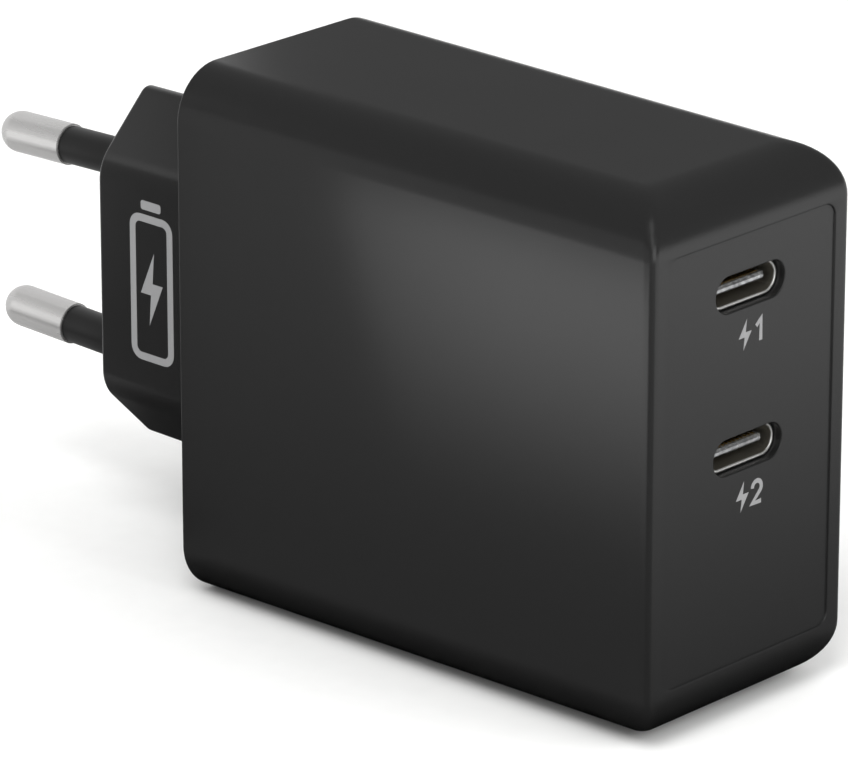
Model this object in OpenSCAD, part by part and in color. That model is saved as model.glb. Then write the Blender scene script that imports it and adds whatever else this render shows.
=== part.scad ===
// USB wall charger: a drafted box housing, a round two-pin mains plug and two USB-C sockets.
// X runs from the pins to the sockets and Z is up, with the charger on its narrow side.
// The origin is the middle of the plug's pin face, half way between the pins. Millimetres.

/* [Housing] */
// Length of the housing, from its plug end to its socket end
body_len = 56.4; // [56:0.1:58]
// Height of the housing at its plug end
body_h = 50.7; // [50.6:0.1:53]
// Thickness of the housing at its plug end
body_w = 27.3; // [27.2:0.1:29]
// Draft of the four long faces, in degrees
body_draft = 0.37; // [0:0.01:0.4]
// Radius of the rounded edges along the housing and above and below the sockets
edge_r = 5; // [4:0.1:6]
// Radius of the upright corners beside the sockets
corner_r = 1; // [0.5:0.1:1.5]
// Thickness of the housing's walls
wall = 1.9; // [1.7:0.1:1.9]

/* [Plug] */
// Depth of the plug's nose, from the pin face to the housing
nose_len = 17.7; // [17.5:0.1:18]
// Height of the nose at its pin face
nose_h = 34.3; // [33.5:0.1:35]
// Height of the nose at its root
nose_root_h = 35.3; // [35:0.1:36]
// Thickness of the nose at its pin face
nose_w = 13.1; // [12.8:0.1:13.3]
// Thickness of the nose at its root
nose_root_w = 13.4; // [13.3:0.1:13.7]
// Height of the sloped faces at the top and bottom of the nose
nose_slope_h = 6; // [5:0.1:6.5]
// Diameter of the bare end of a pin
pin_d = 4; // [3.94:0.01:4.06]
// Length of a pin in front of the pin face
pin_len = 19; // [18.5:0.1:19.5]
// Spacing of the pins at the pin face
pin_spacing = 18.6; // [18:0.1:19.2]
// Spacing of the pins at their tips
pin_tip_spacing = 17.5; // [17:0.1:18]
// Diameter of a pin's insulating sleeve
sleeve_d = 3.65; // [3.5:0.01:3.68]
// Length of a sleeve in front of the pin face
sleeve_len = 10.2; // [9:0.1:10.6]

/* [Sockets] */
// Height of the upper socket above the middle of the housing
upper_socket_z = 14.7; // [14:0.1:15.5]
// Distance between the two sockets
socket_pitch = 15; // [13:0.1:15.5]
// Width of the opening inside a socket
socket_w = 8.34; // [8.3:0.01:8.4]
// Height of the opening inside a socket
socket_h = 2.56; // [2.5:0.01:2.6]
// How far a socket's rim stands back from the housing's end face
socket_setback = 0.8; // [0.5:0.1:1]
// Width of the sunk panel around the sockets
panel_w = 22.2; // [20:0.1:22.5]
// Height of the sunk panel around the sockets
panel_h = 40.1; // [38:0.1:40.5]
// Depth of the sunk panel
panel_depth = 0.2; // [0.1:0.05:0.4]

/* [Boards] */
// Thickness of the main board
board_t = 1.6; // [1.4:0.1:1.6]
// Distance from the charger's middle plane to the main board's parts side
board_y = 8; // [8:0.1:8.1]
// Height of the bulk capacitors
bulk_cap_h = 17.5; // [14:0.5:18]
// Height of the output capacitors
output_cap_h = 11.5; // [9:0.5:13]

/* [Hidden] */

$fn = 48;
fine = 0.02;        // gap between pieces that touch
play = 0.1;         // gap between pieces that drop into each other
past = 1;           // how far a cutting shape runs past the face it cuts
slice = 0.01;       // thickness of the thin discs that a hull joins
hull_fn = 32;

body_x0 = nose_len;
body_x1 = body_x0 + body_len;
slope = tan(body_draft);
edge_steps = 8;
rim_r = 0.25;       // the plug end's nearly sharp rim
end_wall = 2;

cover_t = 1.6;
cover_ledge = 0.9;  // width of the rim that shows around the plug cover
skirt_t = 1.2;
skirt_len = 2.6;
nose_ridge_r = 1.2;
nose_side_r = 4;
pocket_w = 9.4;
pocket_h = 10.6;
pocket_x = 2.2;

pin_lean = atan((pin_spacing - pin_tip_spacing) / 2 / pin_len);
shank_r = 1.5;
collar_r = 2.4;
collar_x = 4;
collar_len = 4;
relief = 0.15;      // the moat around a sleeve at the pin face
relief_depth = 0.5;
root_x = 21;
contact_t = 0.4;
contact_w = 4;
contact_foot = 4;

socket_r = socket_h / 2;
socket_wall = 0.3;
cutout_play = 0.1;
panel_r = 1.3;
socket_x = body_x1 - socket_setback;
tongue_w = 6.7;
tongue_t = 0.7;
tongue_x = socket_x - 0.65;
tongue_base = 1.3;
terminal_pitch = 0.5;
terminal_w = 0.25;
terminal_t = 0.08;
terminal_count = 12;

main_x0 = 22.2;
main_x1 = 63.9;
main_half_h = 22.2;
out_x0 = 64.6;
out_x1 = 65.8;
out_half_w = 10.8;
out_z0 = -10.6;
out_z1 = 21.6;
rib_t = 0.6;
rib_reach = 1.2;

header_pitch = 2.54;
header_count = 7;
header_pin_w = 0.64;
header_hole_d = 1;
header_y = -board_y + 1.3;
header_x = 62.2;

lead_d = 0.7;
lead_hole_d = 0.9;
lead_out = 1;       // how far a lead stands out below the board

// Places of the parts on the main board, as [x, z]
fuse_at = [28, 16];
x_cap_at = [27.9, 0];
thermistor_at = [27, -16];
choke_at = [33, -14.3];
bridge_at = [37.6, 4.2];
opto_at = [37.6, -2.6];
y_cap_at = [38.2, -10];
transformer_at = [51.2, -3];
bulk_caps_at = [35.6, 15.9];
output_caps_at = [43.6, -16.8];
controller_at = [34, -6];
switch_at = [48.5, 6];
rectifier_at = [51.2, -6];

bulk_cap_d = 9.8;
bulk_cap_pitch = 10.1;
output_cap_d = 8;
output_cap_pitch = 8.3;
cap_count = 3;
bulk_lead_pitch = 5;
output_lead_pitch = 3.5;
fuse_size = [4, 8, 8.5];
fuse_lead_pitch = 5.08;
x_cap_size = [6, 12, 13];
x_cap_lead_pitch = 10;
disc_d = 7.2;
disc_t = 3.6;
disc_lead_pitch = 5;

ring_r = 5;
ring_thick_r = 1.6;
wire_r = 0.3;
wire_gap = 0.05;
turns = 6;
turn_step = 20;
choke_base_t = 0.8;

core_size = [17.6, 14.8, 19];
core_plate = 3;
core_leg_t = 2.1;
core_post_r = 3.6;
core_y0 = -6.5;
bobbin_r = 4.4;
flange_r = 7;
flange_t = 0.7;
winding_r = 6.3;
tape_r = 6.7;
rail_w = 1.6;
transformer_pin_pitch = 3.5;
transformer_pin_count = 4;
pad_t = 1.9;

spreader_t = 0.8;
sheet_t = 0.25;
sheet_y = -11.4;

charcoal = "#2c2d2f";
charcoal_light = "#38393b";
nickel = "#c9c9c6";
bronze = "#b98a4b";
board_green = "#1f5a3a";
black_resin = "#1b1b1c";
ferrite = "#3a3a3d";
copper = "#b4672d";
tape_yellow = "#e0c02e";
gold = "#c8a24a";
aluminium = "#b9bcc0";

leads = [
    [fuse_at, fuse_lead_pitch], [x_cap_at, x_cap_lead_pitch],
    [thermistor_at, disc_lead_pitch], [y_cap_at, disc_lead_pitch],
    for (i = [0:cap_count - 1]) [cap_place(bulk_caps_at, bulk_cap_pitch, i), bulk_lead_pitch],
    for (i = [0:cap_count - 1]) [cap_place(output_caps_at, output_cap_pitch, i), output_lead_pitch]
];

function cap_place(first, pitch, i) = [first[0] + i * pitch, first[1]];
function half_h(x) = body_h / 2 - slope * (x - body_x0);
function half_w(x) = body_w / 2 - slope * (x - body_x0);
function along_nose(front, root, x) = front + (root - front) * x / nose_len;
function header_z(i) = (i - (header_count - 1) / 2) * header_pitch;
function transformer_pin_z(i) =
    transformer_at[1] + (i - (transformer_pin_count - 1) / 2) * transformer_pin_pitch;

// The housing's drafted, rounded outline, drawn in by inset, from x_from to x_to.
// Towards the top and bottom each level section draws in on both sides and at the socket end.
module drafted_block(inset, x_from, x_to, r) {
    hull() {
        for (side_z = [-1, 1], side_y = [-1, 1], step = [0:edge_steps]) {
            lean = 90 * step / edge_steps;
            draw = r * (1 - cos(lean));
            rise = r * (1 - sin(lean));
            corner_x = x_to - draw - corner_r;
            translate([
                x_from + rim_r,
                side_y * (half_w(x_from) - inset - draw - rim_r),
                side_z * (half_h(x_from) - inset - rise)
            ])
                cylinder(r = rim_r, h = slice, center = true, $fn = 8);
            translate([
                corner_x,
                side_y * (half_w(corner_x) - inset - draw - corner_r),
                side_z * (half_h(corner_x) - inset - rise)
            ])
                cylinder(r = corner_r, h = slice, center = true, $fn = hull_fn);
        }
    }
}

// A plate across X with rounded corners, from x_from to x_to.
module upright_plate(x_from, x_to, w, h, r) {
    translate([x_from, 0, 0])
        rotate([90, 0, 90])
            linear_extrude(x_to - x_from) {
                square([w - 2 * r, h], center = true);
                square([w, h - 2 * r], center = true);
                for (side_y = [-1, 1], side_z = [-1, 1])
                    translate([side_y * (w / 2 - r), side_z * (h / 2 - r)])
                        circle(r);
            }
}

// A slot shape with round ends, wide along Y.
module socket_form(x_from, x_to, grow) {
    r = socket_r + grow;
    flat = socket_w / 2 - socket_r;
    translate([x_from, 0, 0])
        rotate([90, 0, 90])
            linear_extrude(x_to - x_from) {
                square([2 * flat, 2 * r], center = true);
                for (side = [-1, 1])
                    translate([side * flat, 0])
                        circle(r);
            }
}

module at_sockets() {
    for (drop = [0, socket_pitch])
        translate([0, 0, upper_socket_z - drop])
            children();
}

// Moves to one pin's own axis: the local Z axis runs from the pin face into the nose.
module at_pin(side) {
    translate([0, 0, side * pin_spacing / 2])
        rotate([0, 90 - side * pin_lean, 0])
            children();
}

// Moves to a place on the main board: local Z rises from the parts side.
module on_board(place) {
    translate([place[0], -board_y, place[1]])
        rotate([-90, 0, 0])
            children();
}

// Two leads through the main board, spaced along the charger's height.
module lead_pair(pitch, d) {
    for (side = [-1, 1])
        translate([0, side * pitch / 2, -board_t - lead_out])
            cylinder(d = d, h = board_t + lead_out + fine, $fn = 16);
}

module board_guides() {
    for (side_z = [-1, 1], y = [-board_y + play, -board_y - board_t - play - rib_t])
        translate([main_x0 + past, y, side_z > 0 ? main_half_h - rib_reach : -half_h(main_x0) + past])
            cube([
                main_x1 - main_x0 - 2 * past,
                rib_t,
                half_h(main_x0) - past - main_half_h + rib_reach
            ]);
}

module housing() {
    color(charcoal)
        difference() {
            union() {
                difference() {
                    drafted_block(0, body_x0, body_x1, edge_r);
                    drafted_block(wall, body_x0 - past, body_x1 - end_wall, edge_r - wall);
                }
                board_guides();
            }
            upright_plate(
                body_x0 - past, body_x0 + cover_t + play,
                body_w - 2 * cover_ledge, body_h - 2 * cover_ledge, edge_r - cover_ledge
            );
            upright_plate(body_x1 - panel_depth, body_x1 + past, panel_w, panel_h, panel_r);
            at_sockets()
                socket_form(body_x1 - end_wall - past, body_x1 + past, socket_wall + cutout_play);
        }
}

// One end of the nose: round discs at the two ridges and at the four side corners.
module nose_section(x) {
    h = along_nose(nose_h, nose_root_h, x) / 2;
    w = along_nose(nose_w, nose_root_w, x) / 2;
    side_drop = nose_side_r * tan(atan(w / nose_slope_h) / 2);
    for (side_z = [-1, 1]) {
        translate([x, 0, side_z * (h - nose_ridge_r)])
            rotate([0, 90, 0])
                cylinder(r = nose_ridge_r, h = slice, $fn = hull_fn);
        for (side_y = [-1, 1])
            translate([x, side_y * (w - nose_side_r), side_z * (h - nose_slope_h - side_drop)])
                rotate([0, 90, 0])
                    cylinder(r = nose_side_r, h = slice, $fn = hull_fn);
    }
}

// The room that a pin and its sleeve fill inside the nose.
module pin_room() {
    translate([0, 0, -past])
        cylinder(r = sleeve_d / 2 + relief, h = relief_depth + past);
    cylinder(r = sleeve_d / 2 + fine, h = collar_x);
    translate([0, 0, collar_x - fine])
        cylinder(r = collar_r + fine, h = collar_len + 2 * fine);
    translate([0, 0, collar_x])
        cylinder(r = shank_r + fine, h = root_x);
}

module plug_cover() {
    plate_w = body_w - 2 * cover_ledge - 2 * play;
    plate_h = body_h - 2 * cover_ledge - 2 * play;
    skirt_w = body_w - 2 * wall - 4 * play;
    skirt_h = body_h - 2 * wall - 4 * play;
    plate_x1 = body_x0 + cover_t;
    color(charcoal)
        difference() {
            union() {
                hull() {
                    nose_section(0);
                    nose_section(nose_len);
                }
                upright_plate(body_x0, plate_x1, plate_w, plate_h, edge_r - cover_ledge - play);
                difference() {
                    upright_plate(body_x0, plate_x1 + skirt_len, skirt_w, skirt_h, edge_r - wall);
                    upright_plate(
                        plate_x1, plate_x1 + skirt_len + past,
                        skirt_w - 2 * skirt_t, skirt_h - 2 * skirt_t, edge_r - wall - skirt_t
                    );
                }
            }
            translate([pocket_x, -pocket_w / 2, -pocket_h / 2])
                cube([body_x0 + cover_t - pocket_x + past, pocket_w, pocket_h]);
            for (side = [-1, 1])
                at_pin(side)
                    pin_room();
        }
}

// A pin: round tip, bare end, thin shank in the sleeve, and a collar and root held in the nose.
module pin(side) {
    r = pin_d / 2;
    color(nickel)
        at_pin(side) {
            translate([0, 0, -pin_len + r])
                sphere(r);
            translate([0, 0, -pin_len + r])
                cylinder(r = r, h = pin_len - r - sleeve_len);
            translate([0, 0, -sleeve_len])
                cylinder(r = shank_r, h = sleeve_len + collar_x);
            translate([0, 0, collar_x])
                cylinder(r = collar_r, h = collar_len);
            translate([0, 0, collar_x + collar_len])
                cylinder(r = shank_r, h = root_x - collar_x - collar_len);
        }
}

module pin_sleeve(side) {
    color(charcoal_light)
        at_pin(side)
            translate([0, 0, -sleeve_len + fine])
                difference() {
                    cylinder(d = sleeve_d, h = sleeve_len + collar_x - 2 * fine);
                    translate([0, 0, -past])
                        cylinder(r = shank_r + fine, h = sleeve_len + collar_x + 2 * past);
                }
}

// A bent strip that presses on the pin's root and is soldered to the main board.
module pin_contact(side) {
    x = root_x + play;
    z = side * (pin_spacing / 2 + root_x * tan(pin_lean)) - contact_w / 2;
    color(bronze)
        translate([x, -board_y + fine, z]) {
            cube([contact_t, board_y + shank_r, contact_w]);
            cube([contact_foot, contact_t, contact_w]);
        }
}

module main_board() {
    color(board_green)
        difference() {
            translate([main_x0, -board_y - board_t, -main_half_h])
                cube([main_x1 - main_x0, board_t, 2 * main_half_h]);
            for (lead = leads)
                on_board(lead[0])
                    lead_pair(lead[1], lead_hole_d);
            for (i = [0:header_count - 1])
                translate([header_x, -board_y - board_t / 2, header_z(i)])
                    rotate([90, 0, 0])
                        cylinder(d = header_hole_d, h = 2 * board_t, center = true);
            for (i = [0:transformer_pin_count - 1], side = [-1, 1])
                translate([transformer_pin_x(side), -board_y - board_t / 2, transformer_pin_z(i)])
                    rotate([90, 0, 0])
                        cylinder(d = lead_hole_d, h = 2 * board_t, center = true);
        }
}

function transformer_pin_x(side) = transformer_at[0] + side * (core_size[0] / 2 - rail_w / 2);

module output_board() {
    color(board_green)
        difference() {
            translate([out_x0, -out_half_w, out_z0])
                cube([out_x1 - out_x0, 2 * out_half_w, out_z1 - out_z0]);
            for (i = [0:header_count - 1])
                translate([out_x0 - past, header_y, header_z(i)])
                    rotate([0, 90, 0])
                        cylinder(d = header_hole_d, h = out_x1 - out_x0 + 2 * past);
        }
}

module header_strip() {
    length = header_count * header_pitch;
    color(black_resin)
        difference() {
            translate([main_x1 - header_pitch / 2 - play, -board_y + fine, -length / 2])
                cube([header_pitch / 2, header_pitch, length]);
            for (i = [0:header_count - 1])
                translate([main_x1, header_y, header_z(i)])
                    cube([2 * header_pitch, header_pin_w + fine, header_pin_w + fine], center = true);
        }
}

// Square pins that turn a right angle from the main board into the output board.
module header_pins() {
    half = header_pin_w / 2;
    color(nickel)
        for (i = [0:header_count - 1])
            translate([header_x, header_y, header_z(i)]) {
                translate([-half, -half, -half])
                    cube([out_x1 + lead_out - header_x + half, header_pin_w, header_pin_w]);
                translate([-half, -board_y - board_t - lead_out - header_y, -half])
                    cube([header_pin_w, board_y + board_t + lead_out + header_y, header_pin_w]);
            }
}

module socket_shell(z) {
    color(nickel)
        translate([0, 0, z])
            difference() {
                socket_form(out_x1 + play, socket_x, socket_wall);
                socket_form(out_x1, socket_x + past, 0);
            }
}

module socket_tongue(z) {
    base_x1 = out_x1 + play + tongue_base;
    color(black_resin)
        translate([0, 0, z]) {
            socket_form(out_x1 + play, base_x1, -fine);
            translate([base_x1 - fine, -tongue_w / 2, -tongue_t / 2])
                cube([tongue_x - base_x1 + fine, tongue_w, tongue_t]);
        }
}

module socket_contacts(z) {
    x0 = out_x1 + play + tongue_base + fine;
    color(gold)
        for (i = [0:terminal_count - 1], side = [-1, 1]) {
            y = (i - (terminal_count - 1) / 2) * terminal_pitch;
            translate([x0, y - terminal_w / 2, z + side * (tongue_t + terminal_t) / 2 - terminal_t / 2])
                cube([tongue_x - x0 - terminal_pitch, terminal_w, terminal_t]);
        }
}

// Moves to the transformer: local origin on its axis at the core's lower face, Y up its axis.
module at_transformer() {
    translate([transformer_at[0], core_y0, transformer_at[1]])
        children();
}

// A ring around the transformer's axis, from y_from to y_to.
module transformer_ring(y_from, y_to, r_out, r_in) {
    translate([0, y_from, 0])
        rotate([-90, 0, 0])
            difference() {
                cylinder(r = r_out, h = y_to - y_from);
                translate([0, 0, -past])
                    cylinder(r = r_in, h = y_to - y_from + 2 * past);
            }
}

module core_half() {
    half_h = core_size[1] / 2;
    translate([-core_size[0] / 2, 0, -core_size[2] / 2])
        cube([core_size[0], core_plate, core_size[2]]);
    rotate([-90, 0, 0])
        cylinder(r = core_post_r, h = half_h - fine);
    for (side = [-1, 1])
        translate([-core_size[0] / 2, 0, side * (core_size[2] - core_leg_t) / 2 - core_leg_t / 2])
            cube([core_size[0], half_h - fine, core_leg_t]);
}

module transformer_core() {
    color(ferrite)
        at_transformer() {
            core_half();
            translate([0, core_size[1], 0])
                mirror([0, 1, 0])
                    core_half();
        }
}

module transformer_bobbin() {
    y0 = core_plate + fine;
    y1 = core_size[1] - core_plate - fine;
    rail_h = core_y0 + board_y - fine;
    color(black_resin)
        at_transformer() {
            transformer_ring(y0, y1, bobbin_r, core_post_r + play);
            transformer_ring(y0, y0 + flange_t, flange_r, bobbin_r - play);
            transformer_ring(y1 - flange_t, y1, flange_r, bobbin_r - play);
            for (side = [-1, 1])
                translate([side * (core_size[0] + rail_w) / 2 - rail_w / 2, 0, 0]) {
                    translate([0, -rail_h, -core_size[2] / 2 + core_leg_t])
                        cube([rail_w, rail_h + y0 + flange_t, core_size[2] - 2 * core_leg_t]);
                    translate([side > 0 ? -flange_r / 2 : rail_w - fine, y0, -flange_r / 2])
                        cube([flange_r / 2 + fine, flange_t, flange_r]);
                }
        }
}

module transformer_winding() {
    y0 = core_plate + flange_t + 2 * fine;
    color(copper)
        at_transformer()
            transformer_ring(y0, core_size[1] - y0, winding_r, bobbin_r + fine);
}

module transformer_tape() {
    y0 = core_plate + flange_t + 2 * fine;
    color(tape_yellow)
        at_transformer()
            transformer_ring(y0, core_size[1] - y0, tape_r, winding_r + fine);
}

module transformer_pins() {
    color(nickel)
        for (i = [0:transformer_pin_count - 1], side = [-1, 1])
            translate([transformer_pin_x(side), -board_y - board_t - lead_out, transformer_pin_z(i)])
                rotate([-90, 0, 0])
                    cylinder(d = lead_d, h = board_t + lead_out, $fn = 16);
}

// An upright round capacitor with a grooved neck above its base and leads through the board.
module capacitor(d, h, pitch) {
    groove = 0.4;
    neck_z = 1.6;
    translate([0, 0, play])
        rotate_extrude()
            polygon([
                [0, 0], [d / 2 - groove, 0], [d / 2, groove], [d / 2, neck_z - groove],
                [d / 2 - groove, neck_z], [d / 2, neck_z + groove], [d / 2, h - groove - play],
                [d / 2 - groove, h - play], [0, h - play]
            ]);
    translate([0, 0, play])
        lead_pair(pitch, lead_d);
}

module bulk_capacitors() {
    color("#26282c")
        for (i = [0:cap_count - 1])
            on_board(cap_place(bulk_caps_at, bulk_cap_pitch, i))
                capacitor(bulk_cap_d, bulk_cap_h, bulk_lead_pitch);
}

module output_capacitors() {
    color("#b7bac0")
        for (i = [0:cap_count - 1])
            on_board(cap_place(output_caps_at, output_cap_pitch, i))
                capacitor(output_cap_d, output_cap_h, output_lead_pitch);
}

// A boxed part that stands on the board: size is [along X, height, along Z].
module boxed_part(size, pitch) {
    translate([-size[0] / 2, -size[2] / 2, play])
        cube([size[0], size[2], size[1]]);
    translate([0, 0, play])
        lead_pair(pitch, lead_d);
}

module fuse() {
    color("#5a3424")
        on_board(fuse_at)
            boxed_part(fuse_size, fuse_lead_pitch);
}

module x_capacitor() {
    color("#d8b23a")
        on_board(x_cap_at)
            boxed_part(x_cap_size, x_cap_lead_pitch);
}

// A round disc that stands on edge on two leads.
module disc_part() {
    lift = 1;
    translate([0, 0, lift + disc_d / 2])
        rotate([0, 90, 0])
            cylinder(d = disc_d, h = disc_t, center = true);
    for (side = [-1, 1])
        translate([0, side * disc_lead_pitch / 2, -board_t - lead_out])
            cylinder(d = lead_d, h = board_t + lead_out + lift + disc_d / 3, $fn = 16);
}

module thermistor() {
    color("#2f6e4a")
        on_board(thermistor_at)
            disc_part();
}

module y_capacitor() {
    color("#2d5f9a")
        on_board(y_cap_at)
            disc_part();
}

// Moves to the middle of the common-mode choke's ring, which stands on edge.
module at_choke() {
    reach = ring_r + ring_thick_r + 2 * wire_r + wire_gap;
    on_board(choke_at)
        translate([0, 0, choke_base_t + 2 * play + reach])
            rotate([0, 90, 0])
                children();
}

module choke_core() {
    color("#3c7a4a")
        at_choke()
            rotate_extrude()
                translate([ring_r, 0])
                    circle(ring_thick_r);
}

// Two separate coils on opposite halves of the ring.
module choke_windings() {
    color(copper)
        at_choke()
            for (start = [0, 180], turn = [0:turns - 1])
                rotate([0, 0, start + (turn - (turns - 1) / 2) * turn_step])
                    translate([ring_r, 0, 0])
                        rotate([90, 0, 0])
                            rotate_extrude()
                                translate([ring_thick_r + wire_gap + wire_r, 0])
                                    circle(wire_r, $fn = 16);
}

module choke_base() {
    size = [6.4, 10];
    color(black_resin)
        on_board(choke_at)
            translate([-size[0] / 2, -size[1] / 2, fine])
                cube([size[0], size[1], choke_base_t]);
}

// A surface-mounted package with a row of feet along each of its two long sides.
module chip(size, foot_count) {
    foot_w = 0.4;
    foot_reach = 0.8;
    foot_t = 0.2;
    pitch = size[1] / foot_count;
    translate([-size[0] / 2, -size[1] / 2, fine])
        cube(size);
    for (side = [-1, 1], i = [0:foot_count - 1])
        translate([
            side * (size[0] + foot_reach) / 2 - foot_reach / 2 - fine,
            (i - (foot_count - 1) / 2) * pitch - foot_w / 2,
            fine
        ])
            cube([foot_reach + 2 * fine, foot_w, foot_t]);
}

// Moves to a place under the main board: local Z points away from the solder side.
module under_board(place) {
    translate([place[0], -board_y - board_t, place[1]])
        rotate([90, 0, 0])
            children();
}

module bridge_rectifier() {
    color(black_resin)
        on_board(bridge_at)
            chip([4.4, 5.2, 1.6], 2);
}

module optocoupler() {
    color(black_resin)
        on_board(opto_at)
            chip([4.4, 3.6, 2], 2);
}

module primary_controller() {
    color(black_resin)
        under_board(controller_at)
            chip([3.9, 4.9, 1.4], 4);
}

module primary_switch() {
    color(black_resin)
        under_board(switch_at)
            chip([6, 6, 0.9], 4);
}

module sync_rectifier() {
    color(black_resin)
        under_board(rectifier_at)
            chip([5, 6, 1], 4);
}

// Moves to the output board's inner side behind each socket: local Z points at the plug.
module behind_sockets(y, drop) {
    at_sockets()
        translate([out_x0, y, -drop])
            rotate([0, -90, 0])
                children();
}

module port_inductors() {
    size = [6, 5.6, 2.6];
    color("#4b4d52")
        behind_sockets(0.6, 0)
            translate([-size[0] / 2, -size[1] / 2, fine])
                cube(size);
}

module port_controllers() {
    size = [4, 4, 0.9];
    color(black_resin)
        behind_sockets(6.6, 0)
            translate([-size[0] / 2, -size[1] / 2, fine])
                cube(size);
}

module port_capacitors() {
    size = [1.6, 3.2, 1.6];
    color("#a58b62")
        behind_sockets(0.6, 5)
            translate([-size[0] / 2, -size[1] / 2, fine])
                cube(size);
}

module heat_spreader() {
    size = [27, spreader_t, 33];
    color(aluminium)
        translate([33.5, core_y0 + core_size[1] + pad_t + 2 * fine, -12.5])
            cube(size);
}

module thermal_pad() {
    size = 15;
    color("#8fa7b8")
        translate([transformer_at[0] - size / 2, core_y0 + core_size[1] + fine, transformer_at[1] - size / 2])
            cube([size, pad_t, size]);
}

module insulating_sheet() {
    size = [39, sheet_t, 39];
    color("#d9c98a")
        translate([main_x0 + past, sheet_y, -size[2] / 2])
            cube(size);
}

housing();
plug_cover();
pin(1);  // upper_pin
pin(-1);  // lower_pin
pin_sleeve(1);  // upper_pin_sleeve
pin_sleeve(-1);  // lower_pin_sleeve
pin_contact(1);  // upper_pin_contact
pin_contact(-1);  // lower_pin_contact
main_board();
output_board();
header_strip();
header_pins();
socket_shell(upper_socket_z);  // upper_socket_shell
socket_shell(upper_socket_z - socket_pitch);  // lower_socket_shell
socket_tongue(upper_socket_z);  // upper_socket_tongue
socket_tongue(upper_socket_z - socket_pitch);  // lower_socket_tongue
socket_contacts(upper_socket_z);  // upper_socket_contacts
socket_contacts(upper_socket_z - socket_pitch);  // lower_socket_contacts
transformer_core();
transformer_bobbin();
transformer_winding();
transformer_tape();
transformer_pins();
bulk_capacitors();
output_capacitors();
fuse();
thermistor();
x_capacitor();
y_capacitor();
choke_core();
choke_windings();
choke_base();
bridge_rectifier();
optocoupler();
primary_controller();
primary_switch();
sync_rectifier();
port_inductors();
port_controllers();
port_capacitors();
heat_spreader();
thermal_pad();
insulating_sheet();
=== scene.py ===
"""Looks of a USB wall charger: a drafted plastic housing, a round two-pin plug and two USB-C sockets.

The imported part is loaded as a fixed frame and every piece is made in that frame, in metres:
X runs from the pins to the sockets and Z is up.
"""

import math

import bmesh
import bpy
from mathutils import Matrix, Vector


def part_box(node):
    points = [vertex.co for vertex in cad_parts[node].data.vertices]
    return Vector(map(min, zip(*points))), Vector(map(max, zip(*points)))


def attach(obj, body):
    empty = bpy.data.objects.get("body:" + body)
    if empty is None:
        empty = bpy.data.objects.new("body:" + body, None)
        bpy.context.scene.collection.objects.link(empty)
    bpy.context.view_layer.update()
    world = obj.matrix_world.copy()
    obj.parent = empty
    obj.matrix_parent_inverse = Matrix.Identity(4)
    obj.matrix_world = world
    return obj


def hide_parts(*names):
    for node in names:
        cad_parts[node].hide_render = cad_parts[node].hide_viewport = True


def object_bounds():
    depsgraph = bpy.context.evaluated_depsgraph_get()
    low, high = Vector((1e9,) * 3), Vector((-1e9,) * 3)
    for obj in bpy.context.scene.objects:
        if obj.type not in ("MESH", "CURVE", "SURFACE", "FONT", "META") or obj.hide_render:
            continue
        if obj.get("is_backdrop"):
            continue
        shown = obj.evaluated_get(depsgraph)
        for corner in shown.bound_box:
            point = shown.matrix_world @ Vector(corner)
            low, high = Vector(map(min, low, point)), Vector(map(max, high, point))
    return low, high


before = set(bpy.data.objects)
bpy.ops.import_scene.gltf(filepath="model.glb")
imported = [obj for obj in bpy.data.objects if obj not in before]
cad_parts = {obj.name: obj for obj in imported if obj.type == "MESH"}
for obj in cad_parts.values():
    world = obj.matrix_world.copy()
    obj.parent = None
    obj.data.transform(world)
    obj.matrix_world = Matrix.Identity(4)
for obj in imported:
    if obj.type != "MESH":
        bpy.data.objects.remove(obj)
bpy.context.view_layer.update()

bl_info = {
    "name": "USB wall charger",
    "version": (1, 0, 0),
    "blender": (4, 5, 0),
    "location": "View3D > Sidebar > Charger",
    "description": "Builds the visible pieces of a USB wall charger around its packed part",
    "category": "Object",
}

MM = 0.001
QUARTER = math.pi / 2

# The housing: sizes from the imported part, and small roundings of its own
HOUSING_LOW, HOUSING_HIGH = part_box("housing")
BODY_X0 = HOUSING_LOW.x
BODY_X1 = HOUSING_HIGH.x
DRAFT = math.radians(0.37)
SLOPE = math.tan(DRAFT)
WALL = 1.9 * MM
END_WALL = 2.0 * MM
COVER_T = 1.6 * MM
COVER_LEDGE = 0.9 * MM
LEDGE_LIP = 0.1 * MM
PLAY = 0.1 * MM
PANEL_HALF_W = 11.1 * MM
PANEL_DEPTH = 0.2 * MM
PANEL_R = 1.3 * MM
PANEL_MARGIN = 0.05 * MM

# The nose at its pin face and at its root: X, half width and half height. The root is 0.5 mm lower and
# 0.15 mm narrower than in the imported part.
NOSE_FRONT = Vector((0.0, 13.1 / 2, 34.3 / 2)) * MM
NOSE_ROOT = Vector((17.7, 13.25 / 2, 34.8 / 2)) * MM
NOSE_SLOPE_H = 6.0 * MM
NOSE_RIDGE_R = 1.2 * MM
NOSE_SIDE_R = 4.0 * MM
NOSE_FILLET = 0.3 * MM
PLATE_LIP = 0.12 * MM
SKIRT_T = 1.2 * MM
SKIRT_LEN = 2.6 * MM
# Where the pocket behind the nose ends in X, and its half width and half height
POCKET = Vector((2.2, 9.4 / 2, 10.6 / 2)) * MM
POCKET_R = 0.6 * MM

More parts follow.
